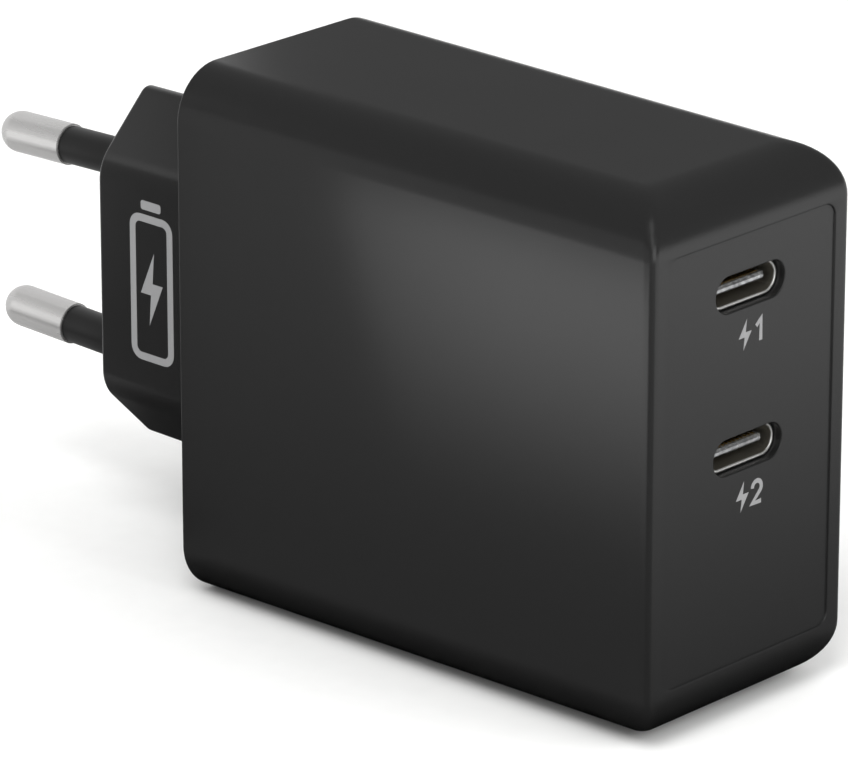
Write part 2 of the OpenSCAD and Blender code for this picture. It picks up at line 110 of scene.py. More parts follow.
# The pins and their sleeves
PIN_HALF_SPACING = 18.6 / 2 * MM
PIN_TIP_HALF_SPACING = 17.5 / 2 * MM
PIN_R = 2.0 * MM
PIN_LEN = 19.0 * MM
PIN_LEAN = math.atan((PIN_HALF_SPACING - PIN_TIP_HALF_SPACING) / PIN_LEN)
SHANK_R = 1.5 * MM
COLLAR_R = 2.4 * MM
COLLAR_AT = 4.0 * MM
COLLAR_LEN = 4.0 * MM
ROOT_AT = 21.0 * MM
ROOT_LIP = 0.3 * MM
SLEEVE_R = 1.825 * MM
SLEEVE_LEN = 10.2 * MM
SLEEVE_LIP = 0.06 * MM
SLEEVE_PLAY = 0.06 * MM
FIT = 0.02 * MM

# The sockets
SOCKET_NODES = ("upper", "lower")
SOCKET_R = 1.28 * MM
SOCKET_FLAT = 8.34 / 2 * MM - SOCKET_R
SOCKET_WALL = 0.3 * MM
MOUTH_LIP = 0.4 * SOCKET_WALL
CUTOUT_GROW = 0.4 * MM
TONGUE_BASE = 1.3 * MM
TONGUE_HALF_W = 3.35 * MM
TONGUE_HALF_T = 0.35 * MM
TONGUE_R = 0.12 * MM
TONGUE_BEVEL = 0.22 * MM
TONGUE_TIP = 0.9 * MM
TERMINAL_COUNT = 12
TERMINAL_PITCH = 0.5 * MM
TERMINAL_HALF_W = 0.125 * MM
TERMINAL_T = 0.08 * MM
TERMINAL_BEVEL = 0.03 * MM

# The printed marks: a bolt and a numeral below each socket
MARK_DROP = 4.2 * MM
BOLT_Y = -0.67 * MM
BOLT_SIZE = Vector((1.7, 2.8)) * MM
NUMERAL_Y = 1.28 * MM
NUMERAL_HALF = Vector((0.6, 1.0)) * MM
NUMERAL_STROKE = 0.42 * MM

# The printed battery on the side of the nose
BATTERY_X = 7.0 * MM
BATTERY_Z = 0.2 * MM
BATTERY_HALF = Vector((2.8, 7.2)) * MM
BATTERY_STROKE = 0.75 * MM
BATTERY_R = 1.3 * MM
BATTERY_INNER_R = 0.6 * MM
BATTERY_CAP_HALF = Vector((1.3, 0.45)) * MM
BATTERY_CAP_R = 0.25 * MM
BATTERY_CAP_GAP = 0.45 * MM
NOSE_BOLT_SIZE = Vector((2.9, 7.2)) * MM

# How many steps make a quarter turn, a half turn (slots) or a whole turn (round parts)
EDGE_STEPS = 16
TIP_STEPS = 16
CORNER_STEPS = 10
POCKET_STEPS = 6
MARK_STEPS = 5
LIP_STEPS = 4
TONGUE_STEPS = 3
SLOT_STEPS = 20
ROUND_STEPS = 64
NUMERAL_STEPS = 12
SHARP_ANGLE = math.radians(35)
# Points closer together than this are one
SAME_PLACE = 1e-7


def linear(hex_colour):
    """The linear RGB of an sRGB hex colour."""
    values = [int(hex_colour[i:i + 2], 16) / 255 for i in (1, 3, 5)]
    return tuple(v / 12.92 if v <= 0.04045 else ((v + 0.055) / 1.055) ** 2.4 for v in values)


def tinted(rgb, factor):
    return tuple(factor * value for value in rgb)


# ---------- settings


def length(name, description, millimetres):
    return bpy.props.FloatProperty(
        name=name, description=description, default=millimetres * MM, unit="LENGTH", precision=5
    )


def colour(name, description, hex_colour):
    return bpy.props.FloatVectorProperty(
        name=name, description=description, default=linear(hex_colour), subtype="COLOR", min=0.0, max=1.0
    )


def share(name, description, value):
    return bpy.props.FloatProperty(
        name=name, description=description, default=value, min=0.0, max=1.0, subtype="FACTOR"
    )


class ChargerShape(bpy.types.PropertyGroup):
    edge_radius: length("Edge radius", "Radius of the long rounded edges and of the socket end", 5.0)
    corner_radius: length("Corner radius", "Radius of the upright corners beside the sockets", 1.0)
    rim_radius: length("Rim radius", "Radius of the rim around the plug cover", 0.16)
    panel_lip: length("Panel lip", "Rounding where the sunk panel begins", 0.15)
    cutout_lip: length("Cutout lip", "Rounding around a socket's cutout", 0.14)
    mouth_setback: length("Mouth setback", "How far a shell's drawn edge lies behind its packed part", 0.25)
    nose_lip: length("Nose lip", "Rounding around the plug's pin face", 0.4)
    pin_step_lip: length("Pin step lip", "Rounding where a pin's bare end meets its sleeve", 0.12)
    mark_height: length("Ink height", "Thickness of the printed marks", 0.02)


class ChargerFinish(bpy.types.PropertyGroup):
    plastic: colour("Housing plastic", "Charcoal of the moulded housing", "#181818")
    plastic_light: colour("Housing plastic, lighter", "Lighter flecks of the moulding grain", "#1d1d1d")
    sleeve: colour("Pin sleeves", "Black of the insulating sleeves", "#0c0c0c")
    ink: colour("Printed ink", "Light grey of the printed marks", "#8f8f90")
    nickel: colour("Nickel", "Satin nickel of the pins", "#cac9c8")
    # The socket steel's warm grey is partly its own colour and partly a painted reflection of the gold
    # terminals
    steel: colour("Socket steel", "Stainless steel of the socket shells", "#b4afa2")
    gold: colour("Terminals", "Gold flash of the socket terminals", "#c9a45c")
    gloss: share("Housing roughness", "Roughness of the satin moulding", 0.25)


# ---------- mesh building


def rows(bm, points):
    """Adds points to a shape, in order."""
    return [bm.verts.new(point) for point in points]


def bridge(bm, ring_a, ring_b):
    """Quads between two closed rings of the same length."""
    for i, start in enumerate(ring_a):
        j = (i + 1) % len(ring_a)
        bm.faces.new((start, ring_a[j], ring_b[j], ring_b[i]))


def skin(bm, rings):
    """Quads along a run of closed rings, whose points are given. Gives back the first and last ring."""
    made = [rows(bm, ring) for ring in rings]
    for ring_a, ring_b in zip(made, made[1:]):
        bridge(bm, ring_a, ring_b)
    return made[0], made[-1]


def cap(bm, *rings):
    """Fills the flat area inside the first ring and outside the others."""
    edges = []
    for ring in rings:
        for i, start in enumerate(ring):
            end = ring[(i + 1) % len(ring)]
            edges.append(bm.edges.get((start, end)) or bm.edges.new((start, end)))
    bmesh.ops.triangle_fill(bm, use_beauty=True, edges=edges)


def arc(steps, start=0.0, end=QUARTER):
    """Evenly spaced angles, both ends among them."""
    return [start + (end - start) * i / steps for i in range(steps + 1)]


def quarter_round(r):
    """Steps over a rounded edge: how far each lies below one face, and below the other."""
    return [(r * (1 - math.sin(angle)), r * (1 - math.cos(angle))) for angle in arc(LIP_STEPS)]


def rounded_rect(x, half_y, half_z, r, steps):
    """A closed ring across X with rounded corners."""
    points = []
    for corner, (side_y, side_z) in enumerate(((1, 1), (-1, 1), (-1, -1), (1, -1))):
        for angle in arc(steps, corner * QUARTER, (corner + 1) * QUARTER):
            points.append((
                x,
                side_y * (half_y - r) + r * math.cos(angle),
                side_z * (half_z - r) + r * math.sin(angle),
            ))
    return points


def slot_ring(x, z, grow):
    """A closed ring across X with round ends: the form of a socket, grown by a margin."""
    r = SOCKET_R + grow
    points = []
    for side, start in ((1, -QUARTER), (-1, QUARTER)):
        for angle in arc(SLOT_STEPS, start, start + 2 * QUARTER):
            points.append((x, side * SOCKET_FLAT + r * math.cos(angle), z + r * math.sin(angle)))
    return points


def as_mesh(bm, name):
    mesh = bpy.data.meshes.new(name)
    bm.to_mesh(mesh)
    bm.free()
    return mesh


def finish_piece(bm, name, materials, replaced=()):
    """Turns a closed shape into a piece of the charger."""
    bmesh.ops.remove_doubles(bm, verts=bm.verts, dist=SAME_PLACE)
    bmesh.ops.recalc_face_normals(bm, faces=bm.faces)
    finish_mesh(as_mesh(bm, name), name, materials, replaced)


def finish_mesh(mesh, name, materials, replaced=()):
    """Turns a mesh into a piece that rides on the body, with smooth, weighted shading."""
    for polygon in mesh.polygons:
        polygon.use_smooth = True
    mesh.set_sharp_from_angle(angle=SHARP_ANGLE)
    piece = bpy.data.objects.new(name, mesh)
    bpy.context.scene.collection.objects.link(piece)
    for material in materials:
        mesh.materials.append(material)
    weighted = piece.modifiers.new("Weighted normals", "WEIGHTED_NORMAL")
    weighted.keep_sharp = True
    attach(piece, "root")
    if replaced:
        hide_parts(*replaced)


# ---------- materials

# How many flecks wide a cloud of rougher or smoother surface is, and the range that noise keeps to
CLOUD_FLECKS = 25
NOISE_LOW, NOISE_HIGH = 0.3, 0.7


def add_node(tree, kind, settings=(), inputs=()):
    """Adds a node, sets its own settings, and sets or links its inputs."""
    node = tree.nodes.new(kind)
    for name, value in dict(settings).items():
        setattr(node, name, value)
    for name, value in dict(inputs).items():
        if isinstance(value, bpy.types.NodeSocket):
            tree.links.new(value, node.inputs[name])
        else:
            node.inputs[name].default_value = value
    return node


def surface(
    name, dark, light, roughness,
    metallic=0.0, ior=1.5, grain=0.3, depth=0.004, stretch=(1, 1, 1), spread=0.04,
):
    """A procedural finish: grain is the size of its flecks and depth their height, both in millimetres.

    Stretch draws the flecks out along the axes, and spread is how much the roughness varies.
    """
    material = bpy.data.materials.new(name)
    material.use_nodes = True
    tree = material.node_tree
    shader = tree.nodes["Principled BSDF"]
    shader.inputs["Metallic"].default_value = metallic
    shader.inputs["IOR"].default_value = ior
    place = add_node(tree, "ShaderNodeTexCoord")
    drawn = add_node(
        tree, "ShaderNodeMapping", inputs={"Vector": place.outputs["Object"], "Scale": stretch}
    )
    flecks = add_node(
        tree, "ShaderNodeTexNoise",
        inputs={"Vector": drawn.outputs["Vector"], "Scale": 1 / (grain * MM), "Detail": 3.0},
    )
    clouds = add_node(
        tree, "ShaderNodeTexNoise",
        inputs={"Vector": drawn.outputs["Vector"], "Scale": 1 / (grain * CLOUD_FLECKS * MM), "Detail": 2.0},
    )
    tint = add_node(
        tree, "ShaderNodeMix", {"data_type": "RGBA"},
        {"Factor": flecks.outputs["Fac"], "A": (*dark, 1), "B": (*light, 1)},
    )
    rough = add_node(
        tree, "ShaderNodeMapRange",
        inputs={
            "Value": clouds.outputs["Fac"], "From Min": NOISE_LOW, "From Max": NOISE_HIGH,
            "To Min": roughness - spread, "To Max": roughness + spread,
        },
    )
    relief = add_node(
        tree, "ShaderNodeBump",
        inputs={"Height": flecks.outputs["Fac"], "Distance": depth * MM, "Strength": 1.0},
    )
    tree.links.new(tint.outputs["Result"], shader.inputs["Base Color"])
    tree.links.new(rough.outputs["Result"], shader.inputs["Roughness"])
    tree.links.new(relief.outputs["Normal"], shader.inputs["Normal"])
    return material


def housing_plastic():
    """Moulded PC/ABS with a fine spark-eroded grain: a dark satin with soft broad highlights."""
    name = "PC ABS, satin moulded"
    if name in bpy.data.materials:
        return bpy.data.materials[name]
    finish = bpy.context.scene.charger_finish
    return surface(
        name, finish.plastic, finish.plastic_light, finish.gloss,
        ior=1.54, grain=0.28, depth=0.006, spread=0.012,
    )


# ---------- housing


class BodyForm:
    """The drafted, rounded outline of the housing."""

    def __init__(self, shape):
        self.edge = shape.edge_radius
        self.corner = shape.corner_radius
        self.rim = shape.rim_radius
        leans = arc(EDGE_STEPS)
        self.levels = [(-1, lean) for lean in reversed(leans)] + [(1, lean) for lean in leans]

    def half_h(self, x):
        return HOUSING_HIGH.z - SLOPE * (x - BODY_X0)

    def half_w(self, x):
        return HOUSING_HIGH.y - SLOPE * (x - BODY_X0)

    def level_path(self, side_z, lean):
        """One level of the outside, from the plug end round the socket end and back."""
        draw = self.edge * (1 - math.cos(lean))
        rise = self.edge * (1 - math.sin(lean))
        turn_x = BODY_X1 - draw - self.corner
        x = BODY_X0 + self.rim
        side = [(x, draw - self.half_w(x))]
        for angle in arc(CORNER_STEPS):
            side.append((
                turn_x + self.corner * math.sin(angle),
                draw + self.corner - self.half_w(turn_x) - self.corner * math.cos(angle),
            ))
        plan = side + [(x, -y) for x, y in reversed(side)]
        return [(x, y, side_z * (self.half_h(x) - rise)) for x, y in plan]

    def section(self, x, inset):
        """A closed ring across X, drawn in by inset, with one point for each level on each side."""
        points = []
        for side_y, levels in ((-1, self.levels), (1, reversed(self.levels))):
            for side_z, lean in levels:
                r = self.edge - inset
                y = self.half_w(x) - inset - r * (1 - math.cos(lean))
                z = self.half_h(x) - inset - r * (1 - math.sin(lean))
                points.append((x, side_y * y, side_z * z))
        return points


def socket_heights():
    heights = []
    for side in SOCKET_NODES:
        low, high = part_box(side + "_socket_shell")
        heights.append((low.z + high.z) / 2)
    return heights


def lip_rings(ring_at, x_from, x_way, grow, lip):
    """Rings that turn from a face across X into a wall along X, over a rounding of radius lip.

    ring_at(x, grow) gives a ring. The wall runs towards x_way, and lies at grow.
    """
    return [ring_at(x_from + x_way * down, grow + out) for out, down in quarter_round(lip)]


def build_housing_mesh(bm, form, shape):
    paths = [rows(bm, form.level_path(side_z, lean)) for side_z, lean in form.levels]
    # The flat of the socket end, between the two middle levels, is left open for the panel
    end_start = CORNER_STEPS + 1
    middle = len(paths) // 2
    for k, (low, high) in enumerate(zip(paths, paths[1:])):
        for i in range(len(low) - 1):
            if k == middle - 1 and i == end_start:
                continue
            bm.faces.new((low[i], low[i + 1], high[i + 1], high[i]))
    bm.faces.new(paths[0])
    bm.faces.new(paths[-1])

    plug_end = [path[0] for path in paths] + [path[-1] for path in reversed(paths)]
    inner = [form.section(BODY_X0 + down, inset) for down, inset in quarter_round(form.rim)[1:]]
    inner += [form.section(BODY_X0 + down, COVER_LEDGE - out) for out, down in quarter_round(LEDGE_LIP)]
    ledge_x = BODY_X0 + COVER_T + PLAY
    inner += [form.section(ledge_x, COVER_LEDGE), form.section(ledge_x, WALL)]
    inner += [form.section(BODY_X1 - END_WALL, WALL)]
    first, inner_end = skin(bm, inner)
    bridge(bm, plug_end, first)

    lip = shape.panel_lip
    panel_half_h = form.half_h(BODY_X1) - form.edge - lip - PANEL_MARGIN
    floor_x = BODY_X1 - PANEL_DEPTH

    def panel_ring(x, grow):
        return rounded_rect(x, PANEL_HALF_W + grow, panel_half_h + grow, PANEL_R + grow, CORNER_STEPS)

    edge_of_panel = lip_rings(panel_ring, BODY_X1, -1, 0.0, lip)
    # The foot's rounding takes most of the wall that the lip leaves
    foot_r = 0.8 * (PANEL_DEPTH - lip)
    foot = [panel_ring(floor_x + up, -inset) for up, inset in quarter_round(foot_r)]
    panel_outer, panel_inner = skin(bm, edge_of_panel + foot)
    low, high = paths[middle - 1], paths[middle]
    cap(bm, [low[end_start], low[end_start + 1], high[end_start + 1], high[end_start]], panel_outer)

    def cutout(z):
        rings = lip_rings(
            lambda x, grow: slot_ring(x, z, grow), floor_x, -1, CUTOUT_GROW, shape.cutout_lip
        )
        return skin(bm, rings + [slot_ring(BODY_X1 - END_WALL, z, CUTOUT_GROW)])

    mouths, throats = zip(*[cutout(z) for z in socket_heights()])
    cap(bm, panel_inner, *mouths)
    cap(bm, inner_end, *throats)


class CHARGER_OT_housing(bpy.types.Operator):
    """Make the drafted housing with its sunk panel and socket cutouts"""

    bl_idname = "charger.housing"
    bl_label = "Housing"

    def execute(self, context):
        shape = context.scene.charger_shape
        bm = bmesh.new()
        build_housing_mesh(bm, BodyForm(shape), shape)
        finish_piece(bm, "housing_moulding", [housing_plastic()], ["housing"])
        return {"FINISHED"}


# ---------- plug cover


def nose_ring(x, inset):
    """A six-sided ring across the nose, with round ridges and round side corners, drawn in by inset."""
    way = min(max(x / NOSE_ROOT.x, 0.0), 1.0)
    _, half_w, half_h = NOSE_FRONT.lerp(NOSE_ROOT, way)
    drop = NOSE_SIDE_R * math.tan(math.atan(half_w / NOSE_SLOPE_H) / 2)
    side = Vector((half_w - NOSE_SIDE_R, half_h - NOSE_SLOPE_H - drop))
    ridge = Vector((0.0, half_h - NOSE_RIDGE_R))
    between = ridge - side
    lean = math.atan2(between.y, between.x) - math.acos((NOSE_SIDE_R - NOSE_RIDGE_R) / between.length)
    turns = (
        (side, NOSE_SIDE_R, 0.0, lean),
        (ridge, NOSE_RIDGE_R, lean, 2 * QUARTER - lean),
        (Vector((-side.x, side.y)), NOSE_SIDE_R, 2 * QUARTER - lean, 2 * QUARTER),
    )
    upper = []
    for centre, r, start, end in turns:
        for angle in arc(CORNER_STEPS, start, end):
            spoke = r - inset
            upper.append((centre.x + spoke * math.cos(angle), centre.y + spoke * math.sin(angle)))
    return [(x, y, z) for y, z in upper] + [(x, -y, -z) for y, z in upper]


def pin_hole_ring(x, side, r):
    """A round ring across X about a pin's leaning axis."""
    z = side * (PIN_HALF_SPACING + x * math.tan(PIN_LEAN))
    return [
        (x, r * math.cos(angle), z + r * math.sin(angle))
        for angle in arc(ROUND_STEPS, 0.0, 4 * QUARTER)[:-1]
    ]


def build_cover_mesh(bm, form, shape):
    plate_back = BODY_X0 + COVER_T
    plate_half = Vector((form.half_w(BODY_X0), form.half_h(BODY_X0)))
    plate_half -= Vector((COVER_LEDGE + PLAY, COVER_LEDGE + PLAY))
    plate_r = form.edge - COVER_LEDGE - PLAY
    skirt_half = plate_half + Vector((COVER_LEDGE - WALL - PLAY, COVER_LEDGE - WALL - PLAY))
    skirt_r = form.edge - WALL

    nose = [nose_ring(down, inset) for inset, down in quarter_round(shape.nose_lip)]
    nose += [nose_ring(BODY_X0 - up, -out) for up, out in quarter_round(NOSE_FILLET)]
    front, root = skin(bm, nose)

    def cover_ring(x, half, r, inset=0.0):
        return rounded_rect(x, half.x - inset, half.y - inset, r - inset, EDGE_STEPS)

    plate = [
        cover_ring(BODY_X0 + down, plate_half, plate_r, inset) for inset, down in quarter_round(PLATE_LIP)
    ]
    plate.append(cover_ring(plate_back, plate_half, plate_r))
    plate_front, plate_rear = skin(bm, plate)
    skirt_end = plate_back + SKIRT_LEN
    skirt_path = ((plate_back, 0.0), (skirt_end, 0.0), (skirt_end, SKIRT_T), (plate_back, SKIRT_T))
    skirt_outer, skirt_inner = skin(bm, [
        cover_ring(x, skirt_half, skirt_r, inset) for x, inset in skirt_path
    ])
    pocket_mouth, pocket_floor = skin(bm, [
        rounded_rect(x, POCKET.y, POCKET.z, POCKET_R, POCKET_STEPS) for x in (plate_back, POCKET.x)
    ])
    bore = SLEEVE_R + SLEEVE_PLAY
    near = 0.3 * PLATE_LIP
    collar_end = COLLAR_AT + COLLAR_LEN
    # A pin hole's (X, radius): a rounded mouth, the sleeve's bore, the collar's room and the shank's
    stations = (
        (0.0, bore + PLATE_LIP), (near, bore + near), (PLATE_LIP, bore), (COLLAR_AT, bore),
        (COLLAR_AT, COLLAR_R + FIT), (collar_end, COLLAR_R + FIT),
        (collar_end, SHANK_R + FIT), (plate_back, SHANK_R + FIT),
    )
    holes = [skin(bm, [pin_hole_ring(x, side, r) for x, r in stations]) for side in (-1, 1)]
    hole_mouths, hole_ends = zip(*holes)
    cap(bm, front, *hole_mouths)
    cap(bm, plate_front, root)
    cap(bm, plate_rear, skirt_outer)
    cap(bm, skirt_inner, pocket_mouth, *hole_ends)
    cap(bm, pocket_floor)


class CHARGER_OT_plug_cover(bpy.types.Operator):
    """Make the plug cover with its six-sided nose and the two pin holes"""

    bl_idname = "charger.plug_cover"
    bl_label = "Plug cover"

    def execute(self, context):
        shape = context.scene.charger_shape
        bm = bmesh.new()
        build_cover_mesh(bm, BodyForm(shape), shape)
        finish_piece(bm, "plug_cover_moulding", [housing_plastic()], ["plug_cover"])
        return {"FINISHED"}


# ---------- pins


def lathe(bm, profile):
    """Turns a profile of (distance along Z, radius) about Z. A radius of 0 makes a closed pole."""
    previous = None
    for along, r in profile:
        if r == 0:
            ring = [bm.verts.new((0, 0, along))]
        else:
            ring = rows(bm, [
                (r * math.cos(angle), r * math.sin(angle), along)
                for angle in arc(ROUND_STEPS, 0.0, 4 * QUARTER)[:-1]
            ])
        if previous and len(previous) == len(ring):
            bridge(bm, previous, ring)
        elif previous:
            pole, loop = (previous[0], ring) if len(previous) == 1 else (ring[0], previous)
            for i, start in enumerate(loop):
                bm.faces.new((pole, start, loop[(i + 1) % len(loop)]))
        previous = ring


def pin_axis(side):
    """The frame of a pin: its local Z runs from the pin face into the nose."""
    return (
        Matrix.Translation((0, 0, side * PIN_HALF_SPACING))
        @ Matrix.Rotation(QUARTER - side * PIN_LEAN, 4, "Y")
    )


def rounding(along, r, lip, turn_out):
    """Profile points over a rounded shoulder: out to radius r, or in from it."""
    if turn_out:
        return [(along + down, r - inset) for inset, down in quarter_round(lip)]
    return [(along - down, r - inset) for down, inset in quarter_round(lip)]


def pin_profile(lip):
    tip = [(-PIN_LEN + PIN_R * (1 - math.cos(a)), PIN_R * math.sin(a)) for a in arc(TIP_STEPS)]
    tip[0] = (-PIN_LEN, 0)
    collar_end = COLLAR_AT + COLLAR_LEN
    return (
        tip
        + rounding(-SLEEVE_LEN, PIN_R, lip, False)
        + [
            (-SLEEVE_LEN, SHANK_R), (COLLAR_AT, SHANK_R), (COLLAR_AT, COLLAR_R),
            (collar_end, COLLAR_R), (collar_end, SHANK_R),
        ]
        + rounding(ROOT_AT, SHANK_R, ROOT_LIP, False)
        + [(ROOT_AT, 0)]
    )


class CHARGER_OT_pins(bpy.types.Operator):
    """Make the two plug pins and the insulating sleeves on them"""

    bl_idname = "charger.pins"
    bl_label = "Pins and sleeves"

    def execute(self, context):
        shape = context.scene.charger_shape
        finish = context.scene.charger_finish
        # Barrel-plated brass: a soft satin that lines up along the pin, with light streaks
        nickel = surface(
            "Brass, nickel plated", tinted(finish.nickel, 0.92), finish.nickel, 0.27,
            metallic=0.85, grain=0.12, depth=0.0008, stretch=(0.12, 1, 1), spread=0.03,
        )
        # Overmoulded polyamide: deep black, and duller than the housing
        polyamide = surface(
            "Polyamide, moulded", finish.sleeve, tinted(finish.sleeve, 1.5), 0.4,
            ior=1.4, grain=0.25, depth=0.003,
        )
        bore = SHANK_R + FIT
        start = -SLEEVE_LEN + FIT
        end = COLLAR_AT - FIT
        tube = (
            [(start, bore)] + rounding(start, SLEEVE_R, SLEEVE_LIP, True)
            + rounding(end, SLEEVE_R, SLEEVE_LIP, False) + [(end, bore), (start, bore)]
        )
        for side, name in ((1, "upper"), (-1, "lower")):
            bm = bmesh.new()
            lathe(bm, pin_profile(shape.pin_step_lip))
            bm.transform(pin_axis(side))
            finish_piece(bm, name + "_plug_pin", [nickel], [name + "_pin"])
            bm = bmesh.new()
            lathe(bm, tube)
            bm.transform(pin_axis(side))
            finish_piece(bm, name + "_sleeve", [polyamide], [name + "_pin_sleeve"])
        return {"FINISHED"}


# ---------- sockets


def build_shell(bm, z, x_from, x_to):
    """A drawn steel sleeve with a rounded mouth, whose faces take the second material: a near-white copy of
    the steel that paints the rim's highlight.
    """
    outer = [slot_ring(x_to - down, z, SOCKET_WALL - inset) for down, inset in quarter_round(MOUTH_LIP)]
    inner = [slot_ring(x_to - down, z, out) for out, down in quarter_round(MOUTH_LIP)]
    rings = [slot_ring(x_from, z, SOCKET_WALL)] + outer + inner + [slot_ring(x_from, z, 0.0)]
    first, last = skin(bm, rings)
    bridge(bm, last, first)
    for face in bm.faces:
        if face.calc_center_median().x > x_to - MOUTH_LIP:
            face.material_index = 1


def build_tongue(bm, z, x_from, low, high):
    """The base that fills the shell's back, and the flat tongue, whose tip takes the second material: steel
    mottled from dark to near white, which paints glints along the tip.
    """
    base_x = x_from + TONGUE_BASE

    def plate_ring(x, inset):
        ring = rounded_rect(x, TONGUE_HALF_W - inset, TONGUE_HALF_T - inset, TONGUE_R, TONGUE_STEPS)
        return [(px, py, pz + z) for px, py, pz in ring]

    back, front = skin(bm, [slot_ring(low.x, z, -FIT), slot_ring(base_x, z, -FIT)])
    tip_x = high.x - TONGUE_TIP
    root, tip = skin(bm, [
        plate_ring(base_x, 0.0), plate_ring(tip_x, 0.0), plate_ring(high.x - TONGUE_BEVEL, 0.0),
        plate_ring(high.x, TONGUE_BEVEL),
    ])
    cap(bm, back)
    cap(bm, front, root)
    cap(bm, tip)
    for face in bm.faces:
        if face.calc_center_median().x > tip_x:
            face.material_index = 1


def terminal_tree(material):
    """Nodes that set out one terminal in a row, and turn a second row to the tongue's other side."""
    tree = bpy.data.node_groups.new("Terminal rows", "GeometryNodeTree")
    for name, kind in (("Terminal", "Geometry"), ("Count", "Int"), ("Pitch", "Float")):
        tree.interface.new_socket(name, in_out="INPUT", socket_type="NodeSocket" + kind)
    tree.interface.new_socket("Rows", in_out="OUTPUT", socket_type="NodeSocketGeometry")
    given = add_node(tree, "NodeGroupInput")
    # The first terminal lies half the row's length to one side
    reach = given.outputs["Count"]
    for operation, other in (("SUBTRACT", 1.0), ("MULTIPLY", given.outputs["Pitch"]), ("MULTIPLY", -0.5)):
        reach = add_node(tree, "ShaderNodeMath", {"operation": operation}, {0: reach, 1: other}).outputs[0]
    start = add_node(tree, "ShaderNodeCombineXYZ", inputs={"Y": reach})
    step = add_node(tree, "ShaderNodeCombineXYZ", inputs={"Y": given.outputs["Pitch"]})
    line = add_node(
        tree, "GeometryNodeMeshLine",
        inputs={
            "Count": given.outputs["Count"], "Start Location": start.outputs[0], "Offset": step.outputs[0],
        },
    )
    row = add_node(
        tree, "GeometryNodeInstanceOnPoints",
        inputs={"Points": line.outputs["Mesh"], "Instance": given.outputs["Terminal"]},
    )
    turned = add_node(
        tree, "GeometryNodeTransform",
        inputs={"Geometry": row.outputs["Instances"], "Rotation": (math.pi, 0.0, 0.0)},
    )
    both = add_node(tree, "GeometryNodeJoinGeometry", inputs={"Geometry": row.outputs["Instances"]})
    tree.links.new(turned.outputs["Geometry"], both.inputs["Geometry"])
    real = add_node(tree, "GeometryNodeRealizeInstances", inputs={"Geometry": both.outputs["Geometry"]})
    painted = add_node(
        tree, "GeometryNodeSetMaterial", inputs={"Geometry": real.outputs["Geometry"], "Material": material}
    )
    add_node(tree, "NodeGroupOutput", inputs={"Rows": painted.outputs["Geometry"]})
    return tree


def one_terminal(low, high):
    """A flat terminal of the row, about y = 0 and the tongue's middle, with a bevelled front end."""
    outer = TONGUE_HALF_T + TERMINAL_T
    bm = bmesh.new()
    rings = []
    for x, narrow in ((low.x, 0.0), (high.x - TERMINAL_BEVEL, 0.0), (high.x, TERMINAL_BEVEL)):
        half = TERMINAL_HALF_W - narrow
        rings.append([
            (x, -half, TONGUE_HALF_T), (x, half, TONGUE_HALF_T),
            (x, half, outer - narrow), (x, -half, outer - narrow),
        ])
    first, last = skin(bm, rings)
    bm.faces.new(first)
    bm.faces.new(last)
    bmesh.ops.recalc_face_normals(bm, faces=bm.faces)
    return as_mesh(bm, "terminal")


def build_terminals(tree, low, high, z, name, material, replaced):
    """Both rows of terminals on one tongue, as one plain mesh."""
    source = bpy.data.objects.new(name + "_source", one_terminal(low, high))
    bpy.context.scene.collection.objects.link(source)
    modifier = source.modifiers.new("Rows", "NODES")
    modifier.node_group = tree
    values = {"Count": TERMINAL_COUNT, "Pitch": TERMINAL_PITCH}
    for item in tree.interface.items_tree:
        if item.name in values and item.in_out == "INPUT":
            modifier[item.identifier] = values[item.name]
    bpy.context.view_layer.update()
    evaluated = source.evaluated_get(bpy.context.evaluated_depsgraph_get())
    mesh = bpy.data.meshes.new_from_object(evaluated)
    bpy.data.objects.remove(source)
    mesh.transform(Matrix.Translation((0, 0, z)))
    mesh.materials.clear()
    finish_mesh(mesh, name, [material], [replaced])


